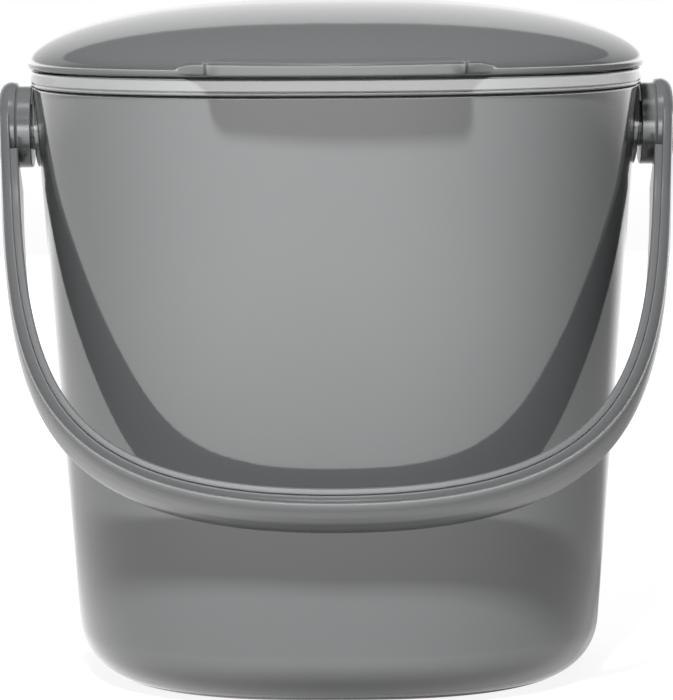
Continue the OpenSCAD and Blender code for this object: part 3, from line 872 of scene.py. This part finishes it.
def make_cap(side):
    stem, face, edge = BOSS_A + STEM_GAP, PEG_END + CAP_T, 0.45
    outline = [(stem, 0), (stem, STEM_R - 0.4), (stem + 0.4, STEM_R), (PEG_END, STEM_R),
               (PEG_END, CAP_R - 0.15), (PEG_END + 0.15, CAP_R), (face - edge, CAP_R)]
    for k in range(1, 10):
        t = math.radians(10 * k)
        outline.append((face - edge * (1 - math.sin(t)), CAP_R - edge * (1 - math.cos(t))))
    outline += [(face, CAP_R - 1.6), (face - 0.12, CAP_R - 1.75), (face - 0.2, CAP_R - 2.1), (face - 0.2, 0)]
    name = "pivot_cap_moulding_" + ("left" if side < 0 else "right")
    return even(place(turned(name, [(side * x, r) for x, r in outline]), shift(z=PIVOT_Z)))


# Finishes

def marks_group():
    """Soft clouds of colour and polish and the faint waves that moulded plastic has."""
    graph, given, out = new_tree("moulding_marks", "ShaderNodeTree", [
        ("Color", "Color", (0.1, 0.1, 0.1, 1)),
        ("Cloud Scale", "Float", 24.0),
        ("Cloud Amount", "Float", 0.05),
        ("Roughness", "Float", 0.15),
        ("Roughness Swing", "Float", 0.05),
        ("Wave Scale", "Float", 60.0),
        ("Grain Scale", "Float", 900.0),
        ("Grain Share", "Float", 0.2),
    ], [("Color", "Color"), ("Roughness", "Float"), ("Height", "Float")])
    place_on = graph.add("ShaderNodeTexCoord").outputs["Object"]

    def noise(scale, detail):
        node = graph.add("ShaderNodeTexNoise")
        graph.put(place_on, node.inputs["Vector"])
        graph.put(scale, node.inputs["Scale"])
        node.inputs["Detail"].default_value = detail
        return graph.minus(node.outputs[0], 0.5)
    cloud = noise(given["Cloud Scale"], 3.0)
    shade = graph.plus(1, graph.times(cloud, given["Cloud Amount"]))
    tint = graph.vector("SCALE", given["Color"])
    graph.put(shade, tint.node.inputs["Scale"])
    graph.put(tint, out["Color"])
    rub = noise(graph.times(given["Cloud Scale"], 3.7), 4.0)
    graph.put(graph.plus(given["Roughness"], graph.times(rub, given["Roughness Swing"])),
              out["Roughness"])
    wave = noise(given["Wave Scale"], 1.0)
    grain = graph.times(noise(given["Grain Scale"], 2.0), given["Grain Share"])
    graph.put(graph.plus(wave, grain), out["Height"])
    return graph.tree


def edge_highlight_group():
    """Where an edge stands proud: the share by which a painted highlight lightens its colour, broken up by
    noise.
    """
    graph, given, out = new_tree("painted_edge_highlight", "ShaderNodeTree", [
        ("Width", "Float", 0.0006),
        ("Amount", "Float", 0.5),
        ("Break Scale", "Float", 160.0),
    ], [("Mask", "Float")])
    bevel = graph.add("ShaderNodeBevel", samples=4)
    graph.put(given["Width"], bevel.inputs["Radius"])
    normal = graph.add("ShaderNodeNewGeometry").outputs["Normal"]
    turn = graph.minus(1, graph.vector("DOT_PRODUCT", bevel.outputs[0], normal))
    noise = graph.add("ShaderNodeTexNoise")
    graph.put(graph.add("ShaderNodeTexCoord").outputs["Object"], noise.inputs["Vector"])
    graph.put(given["Break Scale"], noise.inputs["Scale"])
    broken = graph.times(graph.times(turn, 6), noise.outputs[0])
    amount = graph.times(graph.math("MINIMUM", broken, 1), given["Amount"])
    graph.put(amount, out["Mask"])
    return graph.tree


def grain_group():
    """Fine lines along X, as on drawn wire."""
    graph, given, out = new_tree("drawn_lines", "ShaderNodeTree", [
        ("Line Scale", "Float", 2600.0), ("Line Length", "Float", 40.0),
    ], [("Height", "Float"), ("Mask", "Float")])
    scaled = graph.vector("MULTIPLY", graph.add("ShaderNodeTexCoord").outputs["Object"],
                          graph.xyz(given["Line Length"], given["Line Scale"], given["Line Scale"]))
    noise = graph.add("ShaderNodeTexNoise")
    graph.put(scaled, noise.inputs["Vector"])
    noise.inputs["Scale"].default_value = 1.0
    noise.inputs["Detail"].default_value = 2.0
    graph.put(noise.outputs[0], out["Height"])
    graph.put(graph.minus(noise.outputs[0], 0.5), out["Mask"])
    return graph.tree


def use_group(graph, tree, values):
    node = graph.add("ShaderNodeGroup", node_tree=tree)
    for name, value in values.items():
        graph.put(value, node.inputs[name])
    return node.outputs


def mix_color(graph, share, first, second):
    node = graph.add("ShaderNodeMix", data_type="RGBA")
    graph.put(share, node.inputs["Factor"])
    graph.put(first, node.inputs[6])
    graph.put(second, node.inputs[7])
    return node.outputs[2]


GROUPS = {"marks": marks_group(), "edge_highlight": edge_highlight_group(), "lines": grain_group()}


def new_material(name):
    material = bpy.data.materials.new(name)
    material.use_nodes = True
    graph = Graph(material.node_tree)
    return material, graph, material.node_tree.nodes["Principled BSDF"].inputs


# Metres: how deep the plastic's waves and the wire's lines are, and how far edges look rounded over
SKIN_RELIEF, WIRE_RELIEF, ROUND_OVER = 0.00004, 0.00001, 0.0004


def plastic(name, color, rough, marks, edge_highlight=0.35):
    """A moulded plastic, with rounded-over edges and a painted highlight that lightens them."""
    material, graph, shader = new_material(name)
    values = {"Color": (*color, 1), "Roughness": rough}
    values.update(marks)
    skin = use_group(graph, GROUPS["marks"], values)
    # Painted highlight: a lighter colour mixed in along proud edges
    edge_highlight_mask = use_group(graph, GROUPS["edge_highlight"], {"Amount": edge_highlight})["Mask"]
    light = [min(1, c * 1.9 + 0.02) for c in color]
    graph.put(mix_color(graph, edge_highlight_mask, skin["Color"], (*light, 1)), shader["Base Color"])
    graph.put(skin["Roughness"], shader["Roughness"])
    soft = graph.add("ShaderNodeBevel", samples=6)
    soft.inputs["Radius"].default_value = ROUND_OVER
    relief = graph.add("ShaderNodeBump")
    relief.inputs["Distance"].default_value = SKIN_RELIEF
    graph.put(skin["Height"], relief.inputs["Height"])
    graph.put(soft.outputs[0], relief.inputs["Normal"])
    graph.put(relief.outputs[0], shader["Normal"])
    shader["IOR"].default_value = 1.5
    return material


def steel():
    material, graph, shader = new_material("pin_steel_drawn")
    lines = use_group(graph, GROUPS["lines"], {})
    skin = use_group(graph, GROUPS["marks"], {"Color": (0.55, 0.55, 0.56, 1), "Roughness": 0.28,
                                              "Cloud Amount": 0.12, "Roughness Swing": 0.1})
    graph.put(mix_color(graph, graph.times(lines["Mask"], 0.3), skin["Color"], (0.8, 0.8, 0.8, 1)),
              shader["Base Color"])
    graph.put(skin["Roughness"], shader["Roughness"])
    shader["Metallic"].default_value = 1.0
    relief = graph.add("ShaderNodeBump")
    relief.inputs["Distance"].default_value = WIRE_RELIEF
    graph.put(lines["Height"], relief.inputs["Height"])
    graph.put(relief.outputs[0], shader["Normal"])
    return material


# Painted shade: the second charcoal is the bucket's made darker for the lid, against the stronger light its
# upward face catches; the handle and its strip use it too
# Partly painted light: the pale grey is partly the ring's own tone and partly lifted for the brightness its
# upright face catches; the liner uses it too
CHARCOAL, SHADED_CHARCOAL, ASH_AND_PAINTED_LIGHT = (0.16, 0.165, 0.168), (0.13, 0.134, 0.137), (0.2, 0.205, 0.208)
SEAL_BLACK = (0.05, 0.05, 0.052)
body_finish = plastic("body_gloss", CHARCOAL, 0.08, {"Cloud Amount": 0.08})
# Partly painted light: the ring's grey is lifted for the light its upright face catches
ring_finish = plastic("ring_gloss", ASH_AND_PAINTED_LIGHT, 0.1, {"Cloud Amount": 0.06})
# Painted shade: the lid is the bucket's plastic made darker for the light its top catches
lid_finish = plastic("lid_gloss", SHADED_CHARCOAL, 0.08, {"Cloud Amount": 0.08})
handle_finish = plastic("handle_gloss", SHADED_CHARCOAL, 0.2, {"Cloud Amount": 0.08, "Grain Share": 0.35})
strip_finish = plastic("strip_gloss", SHADED_CHARCOAL, 0.2, {"Cloud Amount": 0.08})
liner_finish = plastic("liner_satin", ASH_AND_PAINTED_LIGHT, 0.42, {"Grain Share": 1.2, "Cloud Amount": 0.08})
seal_finish = plastic("seal_soft", SEAL_BLACK, 0.55, {"Grain Share": 1.5, "Cloud Amount": 0.15}, edge_highlight=0.15)
pin_finish = steel()


def dress(piece, material):
    piece.data.materials.clear()
    piece.data.materials.append(material)


def present(piece, node, body, material):
    """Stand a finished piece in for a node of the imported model."""
    dress(piece, material)
    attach(piece, body)
    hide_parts(node)


present(make_bucket(), "bucket", "bucket", body_finish)
present(make_ring(), "rim_ring", "bucket", ring_finish)
present(make_lid(), "lid_shell", "lid", lid_finish)
present(make_liner(), "lid_liner", "lid", liner_finish)
present(make_seal(), "lid_seal", "lid", seal_finish)
present(make_bow(), "handle_bow", "handle", handle_finish)
present(make_strip(), "handle_inner_strip", "handle", strip_finish)
present(make_cap(-1), "pivot_cap_left", "bucket", handle_finish)
present(make_cap(1), "pivot_cap_right", "bucket", handle_finish)
for pin in ("hinge_pin_left", "hinge_pin_right"):
    dress(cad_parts[pin], pin_finish)


# Camera, at the photograph's viewing angle

def add_camera():
    """A long lens a metre away. Places are in metres and turns in radians."""
    data = bpy.data.cameras.new("camera")
    data.lens = 180.0
    data.sensor_width = 36.0
    data.clip_end = 50.0
    camera = new_object("camera", data)
    distance, pitch, roll = 1.0, math.radians(6.83), -0.0063
    aim_x, aim_z = -0.000286, 0.08895
    spot = (aim_x, -distance * math.cos(pitch), aim_z + distance * math.sin(pitch))
    level = Matrix.Rotation(math.pi / 2 - pitch, 4, "X")
    camera.matrix_world = Matrix.Translation(spot) @ level @ Matrix.Rotation(roll, 4, "Z")
    bpy.context.scene.camera = camera


# Light

def rise(graph, value, low, high, start=0.0, end=1.0):
    """A soft step from one level to another."""
    node = graph.add("ShaderNodeMapRange", interpolation_type="SMOOTHSTEP")
    for socket, item in zip(node.inputs, (value, low, high, start, end)):
        graph.put(item, socket)
    return node.outputs[0]


def panel(name, spot, target, size, radiance):
    """A soft light of the given brightness, aimed from one place at another."""
    data = bpy.data.lights.new(name, "AREA")
    data.shape = "RECTANGLE"
    data.size, data.size_y = size
    data.energy = radiance * math.pi * size[0] * size[1]
    lamp = new_object(name, data)
    aim = Vector(target) - Vector(spot)
    lamp.matrix_world = Matrix.Translation(spot) @ aim.to_track_quat("-Z", "Z").to_matrix().to_4x4()
    lamp.visible_camera = False
    return lamp


def lamp_nodes(lamp):
    """A light's nodes, the place on it from -0.5 to 0.5 both ways, and its strength's socket."""
    lamp.data.use_nodes = True
    graph = Graph(lamp.data.node_tree)
    across, along, _ = graph.split(graph.add("ShaderNodeNewGeometry").outputs["Parametric"])
    strength = lamp.data.node_tree.nodes["Emission"].inputs["Strength"]
    return graph, graph.minus(across, 0.5), graph.minus(along, 0.5), strength


def soften(lamp):
    """Fade a light towards its edges, so that its mirror image has none, and return it."""
    graph, across, along, strength = lamp_nodes(lamp)
    shares = [rise(graph, graph.math("ABSOLUTE", way), 0.05, 0.5, 1.0, 0.0) for way in (across, along)]
    graph.put(graph.times(*shares), strength)
    return lamp


def table_glow(near_level, far_level, near_turn, far_turn):
    """A bright table that only polish mirrors: dim beside the caddy, bright in front, brightest far away.

    Distances from the caddy's middle are in metres."""
    width, height = 8.0, 0.002
    foot, foot_end = 0.055, 0.09
    close_start, close_end, close_level = 0.085, 0.6, 0.55
    far_start, far_end = 1.2, 2.4
    lamp = panel("table_glow", (0, 0, height), (0, 0, 1), (width, width), 1.0)
    lamp.matrix_world = Matrix.Translation((0, 0, height)) @ Matrix.Rotation(math.pi, 4, "X")
    lamp.visible_diffuse = False
    graph, across, along, strength = lamp_nodes(lamp)
    x, front = graph.times(across, width), graph.times(along, width)
    away = graph.vector("LENGTH", graph.xyz(x, front, 0.0))

    def share(turn):
        """One straight in front, turned by an angle, and zero behind."""
        facing = graph.minus(graph.times(front, math.cos(turn)), graph.times(x, math.sin(turn)))
        return graph.times(graph.plus(graph.over(facing, away), 1), 0.5)
    close = graph.times(rise(graph, away, foot, foot_end),
                        rise(graph, away, close_start, close_end, close_level, 1.0))
    near = graph.times(graph.math("POWER", share(near_turn), 1.6), close)
    blend = rise(graph, away, far_start, far_end)
    near_light = graph.times(graph.times(near, near_level), graph.minus(1, blend))
    far_light = graph.times(graph.times(share(far_turn), far_level), blend)
    graph.put(graph.plus(near_light, far_light), strength)


def ray_mask(graph):
    """One where the camera, a reflection or glass looks."""
    path = graph.add("ShaderNodeLightPath").outputs
    return graph.math("MAXIMUM", path["Is Camera Ray"],
                      graph.math("MAXIMUM", path["Is Glossy Ray"], path["Is Transmission Ray"]))


def add_world():
    """White to the camera, and a faint light on the object.

    Reflections see a white sweep behind, a darker studio above and beside, and a bright band at the
    horizon, strongest in front."""
    studio_level, side_loss, fill_level = 0.2, 0.85, 0.06
    band_level, band_power = 11.0, 0.7
    world = bpy.data.worlds.new("studio")
    world.use_nodes = True
    bpy.context.scene.world = world
    graph = Graph(world.node_tree)
    shader = world.node_tree.nodes["Background"].inputs
    x, y, z = graph.split(graph.add("ShaderNodeTexCoord").outputs["Generated"])
    behind = rise(graph, y, -0.15, 0.1)
    below_edge = rise(graph, z, 0.455, 0.475, 1.0, 0.0)
    beside = rise(graph, graph.math("ABSOLUTE", x), 0.8, 0.97)
    sweep = graph.times(behind, below_edge)
    level = graph.plus(sweep, graph.times(graph.minus(1, sweep), studio_level))
    studio = graph.times(level, graph.minus(1, graph.times(beside, side_loss)))
    share = graph.math("POWER", graph.times(graph.minus(1.0, y), 0.5), band_power)
    band = graph.times(share, rise(graph, z, 0.06, 0.14, band_level, 0.0))
    seen = graph.plus(studio, band)
    camera = graph.add("ShaderNodeLightPath").outputs["Is Camera Ray"]
    fill = graph.times(graph.minus(1, ray_mask(graph)), fill_level)
    mirror = graph.times(seen, graph.minus(ray_mask(graph), camera))
    graph.put(graph.plus(graph.plus(camera, fill), mirror), shader["Strength"])
    shader["Color"].default_value = (1, 1, 1, 1)


def add_floor():
    """A grey floor that takes the shadow, with a glow that makes it pale to the camera and to polish."""
    half, floor_grey = 4.0, 0.22
    side_level, side_tilt, back_level = 0.4, 0.3, 0.9
    near_level, near_end, far_start = 0.9, 0.8, 2.6
    mesh = bpy.data.meshes.new("floor")
    corners = [(-half, -half, 0), (half, -half, 0), (half, half, 0), (-half, half, 0)]
    mesh.from_pydata(corners, [], [(0, 1, 2, 3)])
    floor = new_object("floor", mesh)
    material = bpy.data.materials.new("floor_white")
    material.use_nodes = True
    graph = Graph(material.node_tree)
    nodes = material.node_tree.nodes
    nodes.remove(nodes["Principled BSDF"])
    diffuse = graph.add("ShaderNodeBsdfDiffuse")
    diffuse.inputs["Color"].default_value = (floor_grey, floor_grey, floor_grey, 1)
    glow = graph.add("ShaderNodeEmission")
    spot = graph.add("ShaderNodeNewGeometry").outputs["Position"]
    outward = graph.split(graph.vector("NORMALIZE", spot))
    beside = graph.minus(side_level, graph.times(outward[0], side_tilt))
    back = rise(graph, outward[1], 0.7, 0.92)
    mirrored_level = graph.plus(graph.times(beside, graph.minus(1, back)), graph.times(back, back_level))
    camera = graph.add("ShaderNodeLightPath").outputs["Is Camera Ray"]
    plain_level = rise(graph, graph.vector("LENGTH", spot), near_end, far_start, near_level, 1.0)
    level = graph.plus(graph.times(camera, plain_level),
                       graph.times(graph.minus(ray_mask(graph), camera), mirrored_level))
    graph.put(level, glow.inputs["Strength"])
    both = graph.add("ShaderNodeAddShader")
    graph.put(diffuse.outputs[0], both.inputs[0])
    graph.put(glow.outputs[0], both.inputs[1])
    graph.put(both.outputs[0], nodes["Material Output"].inputs["Surface"])
    mesh.materials.append(material)


add_camera()
add_world()
add_floor()
key = panel("key", (-0.13, -0.84, 1.21), target=(0, -0.09, 0.16), size=(0.14, 0.14), radiance=400.0)
back = panel("back", (0, 1.15, 0.42), target=(0, 0.09, 0.1), size=(1.1, 0.5), radiance=8.5)
for lamp in (key, back):
    lamp.visible_glossy = False
spark = panel("spark", (-0.02, -1.2, 0.85), target=(0, -0.09, 0.17), size=(0.12, 0.1), radiance=70.0)
overhead = panel("overhead", (-0.03, -0.47, 1.2), target=(-0.03, -0.4, 0.9), size=(0.5, 0.45), radiance=9.0)
for lamp in (spark, overhead):
    soften(lamp).visible_diffuse = False
table_glow(4.5, 12.2, math.radians(5), math.radians(-3))

bpy.context.scene.view_settings.view_transform = "Standard"
